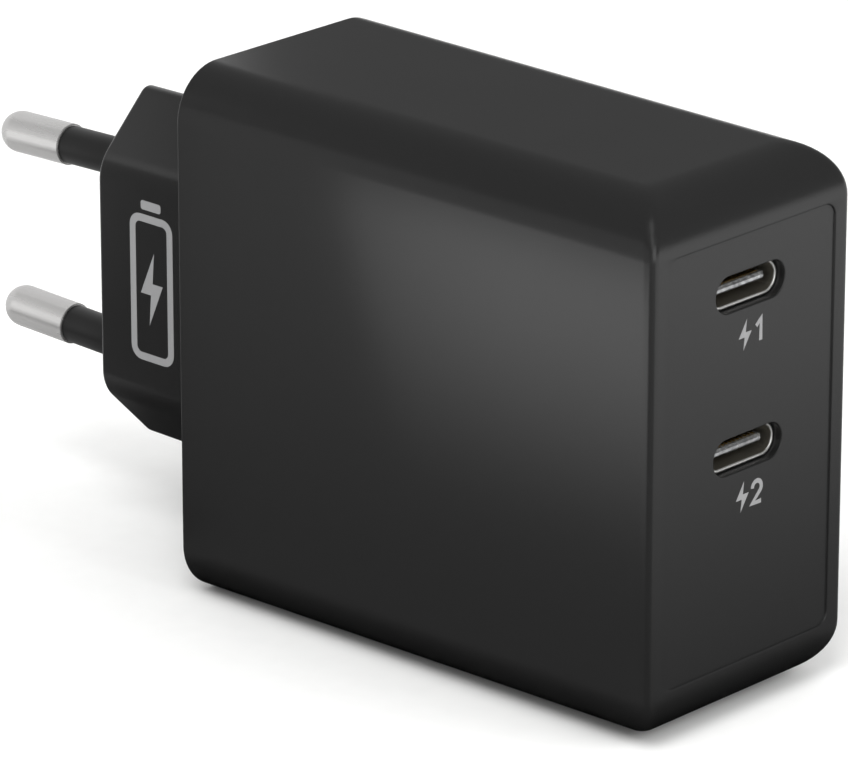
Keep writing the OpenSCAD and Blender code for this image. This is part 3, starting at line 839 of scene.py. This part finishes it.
class CHARGER_OT_sockets(bpy.types.Operator):
    """Make the two USB-C sockets: shells, tongues and rows of terminals"""

    bl_idname = "charger.sockets"
    bl_label = "Sockets"

    def execute(self, context):
        shape = context.scene.charger_shape
        finish = context.scene.charger_finish
        # Drawn stainless steel, dulled by its oxide and lined along the draw. Its warm grey is partly its
        # own colour and partly a painted reflection of the gold terminals inside the shell
        steel = surface(
            "Stainless steel, drawn", tinted(finish.steel, 0.8), finish.steel, 0.22,
            metallic=0.86, grain=0.08, depth=0.001, stretch=(0.15, 1, 1),
        )
        # Stainless steel on the shell's rounded mouth: a near-white copy of the steel, a painted highlight
        # along the rim
        rim_highlight = surface(
            "Stainless steel, trimmed", linear("#e9e8e5"), linear("#fbfaf8"), 0.22,
            metallic=0.86, grain=0.08, depth=0.001,
        )
        # Sheared stainless steel, the torn edge of the tongue's plate: its colour, mottled from dark to
        # near white along the tongue, paints glints
        tip_glints = surface(
            "Stainless steel, blanked", linear("#3c3e40"), linear("#fafbfc"), 0.24,
            metallic=0.8, grain=0.5, depth=0.05, spread=0.1,
        )
        # Liquid-crystal polymer: deep black with a faint flow grain
        resin = surface(
            "Liquid crystal polymer, moulded", linear("#0d0d0e"), linear("#151516"), 0.42, ior=1.62,
            grain=0.1, depth=0.002,
        )
        # Gold flash over nickel: warm and bright, slightly uneven
        gold = surface(
            "Copper alloy, gold plated", tinted(finish.gold, 0.8), finish.gold, 0.22,
            metallic=1.0, grain=0.06, depth=0.0006,
        )
        tree = terminal_tree(gold)
        for side, z in zip(SOCKET_NODES, socket_heights()):
            shell_low, shell_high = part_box(side + "_socket_shell")
            bm = bmesh.new()
            build_shell(bm, z, shell_low.x, shell_high.x - shape.mouth_setback)
            finish_piece(bm, side + "_shell", [steel, rim_highlight], [side + "_socket_shell"])
            low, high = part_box(side + "_socket_tongue")
            bm = bmesh.new()
            build_tongue(bm, z, shell_low.x, low, high)
            finish_piece(bm, side + "_tongue", [resin, tip_glints], [side + "_socket_tongue"])
            low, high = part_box(side + "_socket_contacts")
            build_terminals(tree, low, high, z, side + "_terminals", gold, side + "_socket_contacts")
        return {"FINISHED"}


# ---------- printed marks


def bolt_outline(size):
    """A lightning bolt about its own middle: the lower half is the upper half turned round."""
    upper = ((0.5, 0.08), (0.04, 0.08), (0.12, 0.5))
    return [(way * size.x * u, way * size.y * v) for way in (1, -1) for u, v in upper]


def box_outline(half, r):
    return [(u, v) for _, u, v in rounded_rect(0.0, half.x, half.y, r, MARK_STEPS)]


def stroke_outline(line, width):
    """The outline of a stroke of even width along a line of points."""
    left = []
    right = []
    for i, point in enumerate(line):
        here = Vector(point)
        before = (here - Vector(line[i - 1])).normalized() if i else None
        after = (Vector(line[i + 1]) - here).normalized() if i < len(line) - 1 else None
        way = (before or after) + (after or before)
        way.normalize()
        bend = way.dot(before or after)
        side = Vector((-way.y, way.x)) * width / 2 / max(bend, 0.5)
        left.append(tuple(here + side))
        right.append(tuple(here - side))
    return left + right[::-1]


def numeral_line(numeral, half):
    """The middle line of a plain 1 or 2, about its own middle."""
    half_u, half_v = half
    if numeral == 1:
        stem_u = 0.25 * half_u
        return [(-0.8 * half_u, 0.45 * half_v), (stem_u, half_v), (stem_u, -half_v)]
    bow = [
        (half_u * math.cos(angle), half_v - half_u + half_u * math.sin(angle))
        for angle in arc(NUMERAL_STEPS, 2 * QUARTER, -0.45 * QUARTER)
    ]
    return bow + [(-half_u, -half_v), (half_u, -half_v)]


def print_shape(bm, outlines, place, height):
    """A thin closed layer of ink: the first outline less the others, on the surface that place maps to."""
    levels = []
    for lift in (0.0, height):
        levels.append([rows(bm, [place(u, v, lift) for u, v in outline]) for outline in outlines])
    for low, high in zip(*levels):
        bridge(bm, low, high)
    for rings in levels:
        cap(bm, *rings)


class CHARGER_OT_marks(bpy.types.Operator):
    """Print a bolt and a numeral under each socket, and a battery on the nose"""

    bl_idname = "charger.marks"
    bl_label = "Printed marks"

    def execute(self, context):
        shape = context.scene.charger_shape
        finish = context.scene.charger_finish
        # Pad-printed ink: flat light grey with a faint mottle
        ink = surface(
            "Ink, pad printed", tinted(finish.ink, 0.9), finish.ink, 0.55, grain=0.15, depth=0.001
        )
        height = shape.mark_height
        panel_x = BODY_X1 - PANEL_DEPTH
        bm = bmesh.new()
        for number, z in enumerate(socket_heights(), start=1):
            numeral = stroke_outline(numeral_line(number, NUMERAL_HALF), NUMERAL_STROKE)
            for outline, y in ((bolt_outline(BOLT_SIZE), BOLT_Y), (numeral, NUMERAL_Y)):
                print_shape(
                    bm, [outline],
                    lambda u, v, lift: (panel_x + lift, y + u, z - MARK_DROP + v), height,
                )
        finish_piece(bm, "port_marks", [ink])

        side_slope = (NOSE_ROOT.y - NOSE_FRONT.y) / NOSE_ROOT.x

        def on_nose(u, v, lift):
            x = BATTERY_X + u
            return (x, -(NOSE_FRONT.y + side_slope * x) - lift, BATTERY_Z + v)

        inner_half = BATTERY_HALF - Vector((BATTERY_STROKE, BATTERY_STROKE))
        case = [box_outline(BATTERY_HALF, BATTERY_R), box_outline(inner_half, BATTERY_INNER_R)]
        rise = BATTERY_HALF.y + BATTERY_CAP_GAP + BATTERY_CAP_HALF.y
        battery_cap = [(u, v + rise) for u, v in box_outline(BATTERY_CAP_HALF, BATTERY_CAP_R)]
        bm = bmesh.new()
        for outlines in (case, [battery_cap], [bolt_outline(NOSE_BOLT_SIZE)]):
            print_shape(bm, outlines, on_nose, height)
        finish_piece(bm, "nose_mark", [ink])
        return {"FINISHED"}


# ---------- inside parts

# Each inside finish: (dark, light, roughness, metallic, fleck size and height in millimetres), and
# words from the names of the nodes that have it
INSIDE_FINISHES = {
    # Rolled strip: brown-gold metal, faintly mottled
    "Phosphor bronze, rolled": (("#9c7038", "#c0904e", 0.28, 1.0, 0.15, 0.002), ("pin_contact",)),
    # Solder mask over glass weave: glassy green with a faint mottle
    "Glass epoxy, solder masked": (("#12402a", "#1f5f3e", 0.22, 0.0, 0.6, 0.004), ("board",)),
    # Nylon: plain black, soft sheen
    "Nylon, moulded": (("#131314", "#1c1c1d", 0.45, 0.0, 0.2, 0.003), ("header_strip", "choke_base")),
    # Tin over brass: pale grey with dull patches
    "Brass, tin plated": (
        ("#a9a9a5", "#c8c8c4", 0.3, 1.0, 0.12, 0.002), ("header_pins", "transformer_pins"),
    ),
    # Ground ferrite: charcoal ceramic with a dry, dusty grain
    "Ferrite, ground": (("#2b2b2e", "#3d3d41", 0.55, 0.0, 0.12, 0.006), ("transformer_core",)),
    # Phenolic: black, slightly speckled
    "Phenolic, moulded": (("#121213", "#202022", 0.4, 0.0, 0.2, 0.003), ("transformer_bobbin",)),
    # Enamelled wire: deep glossy copper
    "Copper, enamelled": (("#8a4520", "#bb6c34", 0.2, 1.0, 0.25, 0.003), ("winding",)),
    # Polyester tape: glossy yellow with faint wrinkles
    "Polyester tape, wound": (("#c9a21c", "#e4c437", 0.25, 0.0, 1.2, 0.02), ("transformer_tape",)),
    # Shrink film over a can: dark, tight and glossy
    "Shrink film, dark": (("#1c1e24", "#272a31", 0.3, 0.0, 0.8, 0.004), ("bulk_capacitors",)),
    # Bare drawn can: light grey metal with a fine grain
    "Aluminium, drawn": (("#a4a7ac", "#bfc2c6", 0.3, 1.0, 0.15, 0.002), ("output_capacitors",)),
    # Brown case resin: warm and satin
    "Epoxy case, brown": (("#4a2718", "#643a26", 0.4, 0.0, 0.3, 0.004), ("fuse",)),
    # Dipped resin: thick, glossy and a little uneven
    "Epoxy dip, green": (("#1f5c3b", "#2f7a52", 0.25, 0.0, 1.0, 0.03), ("thermistor", "choke_core")),
    "Epoxy dip, blue": (("#234f86", "#2f67a8", 0.25, 0.0, 1.0, 0.03), ("y_capacitor",)),
    # Potted case: strong yellow with a satin grain
    "Polyester case, yellow": (("#c29a2a", "#dcb83e", 0.35, 0.0, 0.3, 0.004), ("x_capacitor",)),
    # Moulding compound: grey-black with a fine sandy surface
    "Epoxy compound, moulded": (
        ("#171718", "#232325", 0.5, 0.0, 0.1, 0.004),
        ("rectifier", "optocoupler", "primary_", "port_controllers"),
    ),
    # Pressed iron powder: dark grey with fine flecks and a dull metal sheen
    "Iron powder, pressed": (("#3b3d42", "#55585e", 0.45, 0.3, 0.12, 0.006), ("port_inductors",)),
    # Fired ceramic: matt tan
    "Barium titanate, fired": (("#8d744f", "#ab9166", 0.5, 0.0, 0.15, 0.003), ("port_capacitors",)),
    # Mill-finish sheet: pale metal, faintly mottled
    "Aluminium sheet, rolled": (("#a9acb0", "#c4c7ca", 0.28, 1.0, 0.3, 0.003), ("heat_spreader",)),
    # Silicone pad: soft grey-blue rubber
    "Silicone, calendered": (("#7f97a8", "#9db2c0", 0.65, 0.0, 0.3, 0.006), ("thermal_pad",)),
    # Polyester film: amber and glossy
    "Polyester film, amber": (("#b9a468", "#d6c389", 0.18, 0.0, 1.5, 0.01), ("insulating_sheet",)),
}


class CHARGER_OT_inside(bpy.types.Operator):
    """Give each part inside the housing the finish of its real material"""

    bl_idname = "charger.inside"
    bl_label = "Inside parts"

    def execute(self, context):
        for name, ((dark, light, roughness, metallic, grain, depth), words) in INSIDE_FINISHES.items():
            material = surface(
                name, linear(dark), linear(light), roughness, metallic=metallic, grain=grain, depth=depth
            )
            for node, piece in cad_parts.items():
                if any(word in node for word in words):
                    piece.data.materials.clear()
                    piece.data.materials.append(material)
        return {"FINISHED"}


# ---------- stage

# The camera, and the sizes of the floor and of the cards around the charger, in metres
AIM = Vector((36.80, -1.51, -2.65)) * MM
VIEW_AZIMUTH = math.radians(42.97)
VIEW_ELEVATION = math.radians(20.05)
VIEW_DISTANCE = 588.9 * MM
LENS = 275.95
FLOOR_GAP = 0.05 * MM
FLOOR_HALF = 6.0
CARD_GAP = 0.02 * MM
TABLE_CARD_HALF = 0.9
FRONT_CARD_GAP = 16 * MM
FRONT_CARD_X = (-30 * MM, 82 * MM)
FRONT_CARD_TOP = 27 * MM
DOME_RADIUS = 3.0
DOME_STRENGTH = 0.19
WORLD_STRENGTH = 0.8
LAMP_SIZE = 0.5

# The lamps: name, position in metres and watts
LAMPS = (
    ("key", (0.25, -0.45, 0.75), 5.0),
    ("fill", (0.75, 0.15, 0.45), 3.0),
)

# Cards that glow only in reflections: name, half size and middle in millimetres, the way the card
# faces, and strength
GLOW_CARDS = (
    ("pin_card", 72, (-60, 0, 0), (1, 0, 0), 0.88),
    ("pin_shade", 20, (-59, -24, 54), (1, 0, 0), 0.66),
    ("pin_glint", 16, (-59, -54, 4), (1, 0, 0), 1.4),
    ("socket_card", 50, (230, -55, 40), (-1, 0, 0), 1.5),
    ("corner_glint", 35, (174, -67, 112), (-100, 54, -94), 0.85),
    ("corner_glint_high", 45, (144, -37, 202), (-70, 24, -184), 0.85),
)


def view_back():
    """From the aim point towards the camera."""
    return Vector((
        math.sin(VIEW_AZIMUTH) * math.cos(VIEW_ELEVATION),
        -math.cos(VIEW_AZIMUTH) * math.cos(VIEW_ELEVATION),
        math.sin(VIEW_ELEVATION),
    ))


def glow(name, strength):
    """A material that only gives off light."""
    material = bpy.data.materials.new(name)
    material.use_nodes = True
    tree = material.node_tree
    tree.nodes.remove(tree.nodes["Principled BSDF"])
    light = add_node(tree, "ShaderNodeEmission", inputs={"Strength": strength})
    tree.links.new(light.outputs["Emission"], tree.nodes["Material Output"].inputs["Surface"])
    return material


def stage_piece(bm, name, material):
    mesh = as_mesh(bm, name)
    mesh.materials.append(material)
    piece = bpy.data.objects.new(name, mesh)
    bpy.context.scene.collection.objects.link(piece)
    piece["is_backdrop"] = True
    return piece


def flat_sheet(name, corners, material):
    bm = bmesh.new()
    bm.faces.new(rows(bm, corners))
    return stage_piece(bm, name, material)


def flat_square(name, half, centre, material, normal=Vector((0, 0, 1))):
    turn = normal.to_track_quat("Z", "Y").to_matrix()
    square = ((-half, -half, 0), (half, -half, 0), (half, half, 0), (-half, half, 0))
    return flat_sheet(name, [centre + turn @ Vector(corner) for corner in square], material)


def only_in_reflections(card):
    for ray in ("camera", "diffuse", "transmission", "volume_scatter", "shadow"):
        setattr(card, "visible_" + ray, False)


def soft_light(name, position, watts):
    """A square lamp that lights the charger but is not mirrored in it."""
    light = bpy.data.lights.new(name, "AREA")
    light.shape = "SQUARE"
    light.size = LAMP_SIZE
    light.energy = watts
    holder = bpy.data.objects.new(name, light)
    bpy.context.scene.collection.objects.link(holder)
    holder.location = position
    holder.visible_glossy = False
    holder.rotation_euler = (AIM - position).to_track_quat("-Z", "Y").to_euler()


def light_pattern(tree, pattern):
    """Nodes for the strength of light over a card.

    A pattern is a number; or a step (value, start, end, low, high), which eases from low to high while
    the value goes from start to end, in millimetres; or the name of an operation and its patterns.
    """
    if isinstance(pattern, float):
        return pattern
    if isinstance(pattern[0], str):
        operation, *parts = pattern
        total, *others = [light_pattern(tree, part) for part in parts]
        for other in others:
            result = add_node(tree, "ShaderNodeMath", {"operation": operation}, {0: total, 1: other})
            total = result.outputs[0]
        return total
    value, start, end, low, high = pattern
    eased = add_node(
        tree, "ShaderNodeMapRange", {"interpolation_type": "SMOOTHSTEP"},
        {"Value": value, "From Min": start * MM, "From Max": end * MM, "To Min": low, "To Max": high},
    )
    return eased.outputs["Result"]


def floor_card(floor_z):
    """A card over the floor that shows only in reflections.

    It is dark under the housing, paler further out, and bright under the pins and beyond the sockets.
    """
    material = glow("Table card", 1.0)
    tree = material.node_tree
    place = add_node(tree, "ShaderNodeTexCoord").outputs["Object"]
    axes = add_node(tree, "ShaderNodeSeparateXYZ", inputs={"Vector": place})
    x, y = axes.outputs["X"], axes.outputs["Y"]
    middle = (HOUSING_LOW + HOUSING_HIGH) / 2
    half = (HOUSING_HIGH - HOUSING_LOW) / 2
    origin = (0.0, 0.0, 0.0)
    past = place
    for operation, other in (
        ("SUBTRACT", (middle.x, 0.0, floor_z)), ("ABSOLUTE", origin),
        ("SUBTRACT", (half.x, half.y, 0.0)), ("MAXIMUM", origin),
    ):
        past = add_node(
            tree, "ShaderNodeVectorMath", {"operation": operation}, {0: past, 1: other}
        ).outputs["Vector"]
    # How far a spot of the card is outside the housing's outline
    away = add_node(tree, "ShaderNodeVectorMath", {"operation": "LENGTH"}, {0: past}).outputs["Value"]
    under_pins = ("MULTIPLY", (x, -8, -30, 0.0, 0.5), (y, -42, -22, 0.0, 1.0))
    behind = ("MULTIPLY", (y, 12, 45, 0.0, 0.4), (x, 78, 66, 0.0, 1.0))
    beyond_sockets = (x, 60, 190, 0.0, 0.51)
    air = ("ADD", (away, 0, 130, 0.0, 0.32), (x, 0, 12, 0.0, 0.15))
    corner_shade = ("MULTIPLY", (x, 74, 82, 0.0, 0.7), (y, -8, -16, 0.0, 1.0))
    contact_shade = (away, 0, 9, 0.0, 1.0)
    strength = light_pattern(tree, (
        "MULTIPLY", ("ADD", air, beyond_sockets, under_pins, behind),
        ("SUBTRACT", 1.0, corner_shade), contact_shade,
    ))
    tree.links.new(strength, tree.nodes["Emission"].inputs["Strength"])
    only_in_reflections(flat_square("floor_card", TABLE_CARD_HALF, Vector((0, 0, floor_z)), material))


def front_card(floor_z):
    """A soft box before the front face that shows only in reflections.

    The camera sees each spot of the card mirrored in the front face, a step along and up from the spot,
    so the pattern is set out by these shifted places.
    """
    back = view_back()
    step = Vector((back.x, 0.0, back.z)) * FRONT_CARD_GAP / -back.y
    material = glow("Soft box", 1.0)
    tree = material.node_tree
    place = add_node(tree, "ShaderNodeTexCoord").outputs["Object"]
    shifted = add_node(tree, "ShaderNodeVectorMath", {"operation": "ADD"}, {0: place, 1: step})
    axes = add_node(tree, "ShaderNodeSeparateXYZ", inputs={"Vector": shifted.outputs[0]})
    x, z = axes.outputs["X"], axes.outputs["Z"]
    # How far the soft box's left edge leans towards the pins for each step up
    lean = 0.33
    along = add_node(
        tree, "ShaderNodeMath", {"operation": "MULTIPLY_ADD"}, {0: z, 1: lean, 2: x}
    ).outputs[0]
    # Air: darker below, and darker before the nose
    air = ("MULTIPLY", (z, -35, 35, 0.1, 0.4), (x, 11, 18, 0.35, 1.0))
    # The soft box: a crisp left edge, brighter further right, and soft below and above
    patch = (
        "MULTIPLY", (along, 43.2, 46.2, 0.0, 1.15), (along, 44.7, 64.7, 0.7, 1.0),
        (z, -9, 17, 0.0, 1.0), (z, 24, 18, 0.0, 1.0),
    )
    strength = light_pattern(tree, ("ADD", air, patch))
    tree.links.new(strength, tree.nodes["Emission"].inputs["Strength"])
    y = HOUSING_LOW.y - FRONT_CARD_GAP
    left, right = FRONT_CARD_X
    top = FRONT_CARD_TOP
    corners = ((left, y, floor_z), (right, y, floor_z), (right, y, top), (left, y, top))
    only_in_reflections(flat_sheet("front_card", corners, material))


def open_from_below(material):
    """Lets the floor be looked through from underneath, so that the charger's underside shows."""
    tree = material.node_tree
    paper = tree.nodes["Principled BSDF"].outputs[0]
    side = add_node(tree, "ShaderNodeNewGeometry").outputs["Backfacing"]
    clear = add_node(tree, "ShaderNodeBsdfTransparent").outputs["BSDF"]
    mix = add_node(tree, "ShaderNodeMixShader", inputs={0: side, 1: paper, 2: clear})
    tree.links.new(mix.outputs[0], tree.nodes["Material Output"].inputs["Surface"])


def dim_dome():
    """A dim sphere round the stage that shows only in reflections."""
    bm = bmesh.new()
    bmesh.ops.create_icosphere(bm, subdivisions=3, radius=DOME_RADIUS)
    only_in_reflections(stage_piece(bm, "dim_dome", glow("Dim air", DOME_STRENGTH)))


class CHARGER_OT_stage(bpy.types.Operator):
    """Set up the pale floor, the soft lights and the camera"""

    bl_idname = "charger.stage"
    bl_label = "Stage"

    def execute(self, context):
        scene = context.scene
        scene.view_settings.view_transform = "Standard"
        camera = bpy.data.cameras.new("camera")
        camera.lens = LENS
        camera.sensor_width = 36.0
        camera.clip_start = 0.01
        camera.clip_end = 20.0
        holder = bpy.data.objects.new("camera", camera)
        scene.collection.objects.link(holder)
        holder.location = AIM + VIEW_DISTANCE * view_back()
        holder.rotation_euler = view_back().to_track_quat("Z", "Y").to_euler()
        scene.camera = holder

        floor_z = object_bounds()[0][2] - FLOOR_GAP
        # Matt white paper: pale, and even apart from a faint mottle
        pale = surface("Paper, matt white", linear("#f4f4f3"), linear("#f8f8f7"), 0.9, grain=2.0, depth=0.0)
        open_from_below(pale)
        flat_square("floor", FLOOR_HALF, Vector((0, 0, floor_z)), pale)
        floor_card(floor_z + CARD_GAP)
        front_card(floor_z + CARD_GAP)
        for name, half, centre, facing, strength in GLOW_CARDS:
            light = glow(name, strength)
            card = flat_square(name, half * MM, Vector(centre) * MM, light, Vector(facing))
            only_in_reflections(card)
        dim_dome()

        world = bpy.data.worlds.new("Studio air")
        scene.world = world
        world.use_nodes = True
        air = world.node_tree.nodes["Background"]
        air.inputs["Color"].default_value = (1, 1, 1, 1)
        air.inputs["Strength"].default_value = WORLD_STRENGTH

        for name, position, watts in LAMPS:
            soft_light(name, Vector(position), watts)
        return {"FINISHED"}


# ---------- add-on

OPERATORS = (
    CHARGER_OT_stage,
    CHARGER_OT_housing,
    CHARGER_OT_plug_cover,
    CHARGER_OT_pins,
    CHARGER_OT_sockets,
    CHARGER_OT_marks,
    CHARGER_OT_inside,
)


class CHARGER_PT_pieces(bpy.types.Panel):
    """The charger's settings and the buttons that make its pieces"""

    bl_idname = "CHARGER_PT_pieces"
    bl_label = "USB wall charger"
    bl_space_type = "VIEW_3D"
    bl_region_type = "UI"
    bl_category = "Charger"

    def draw(self, context):
        for group in (context.scene.charger_shape, context.scene.charger_finish):
            box = self.layout.box()
            for name in group.__annotations__:
                box.prop(group, name)
        for operator in OPERATORS:
            self.layout.operator(operator.bl_idname)


CLASSES = (ChargerShape, ChargerFinish, *OPERATORS, CHARGER_PT_pieces)


def register():
    for item in CLASSES:
        bpy.utils.register_class(item)
    bpy.types.Scene.charger_shape = bpy.props.PointerProperty(type=ChargerShape)
    bpy.types.Scene.charger_finish = bpy.props.PointerProperty(type=ChargerFinish)


def unregister():
    del bpy.types.Scene.charger_finish
    del bpy.types.Scene.charger_shape
    for item in reversed(CLASSES):
        bpy.utils.unregister_class(item)


def main():
    register()
    for operator in OPERATORS:
        group, name = operator.bl_idname.split(".")
        getattr(getattr(bpy.ops, group), name)()


if __name__ == "__main__":
    main()
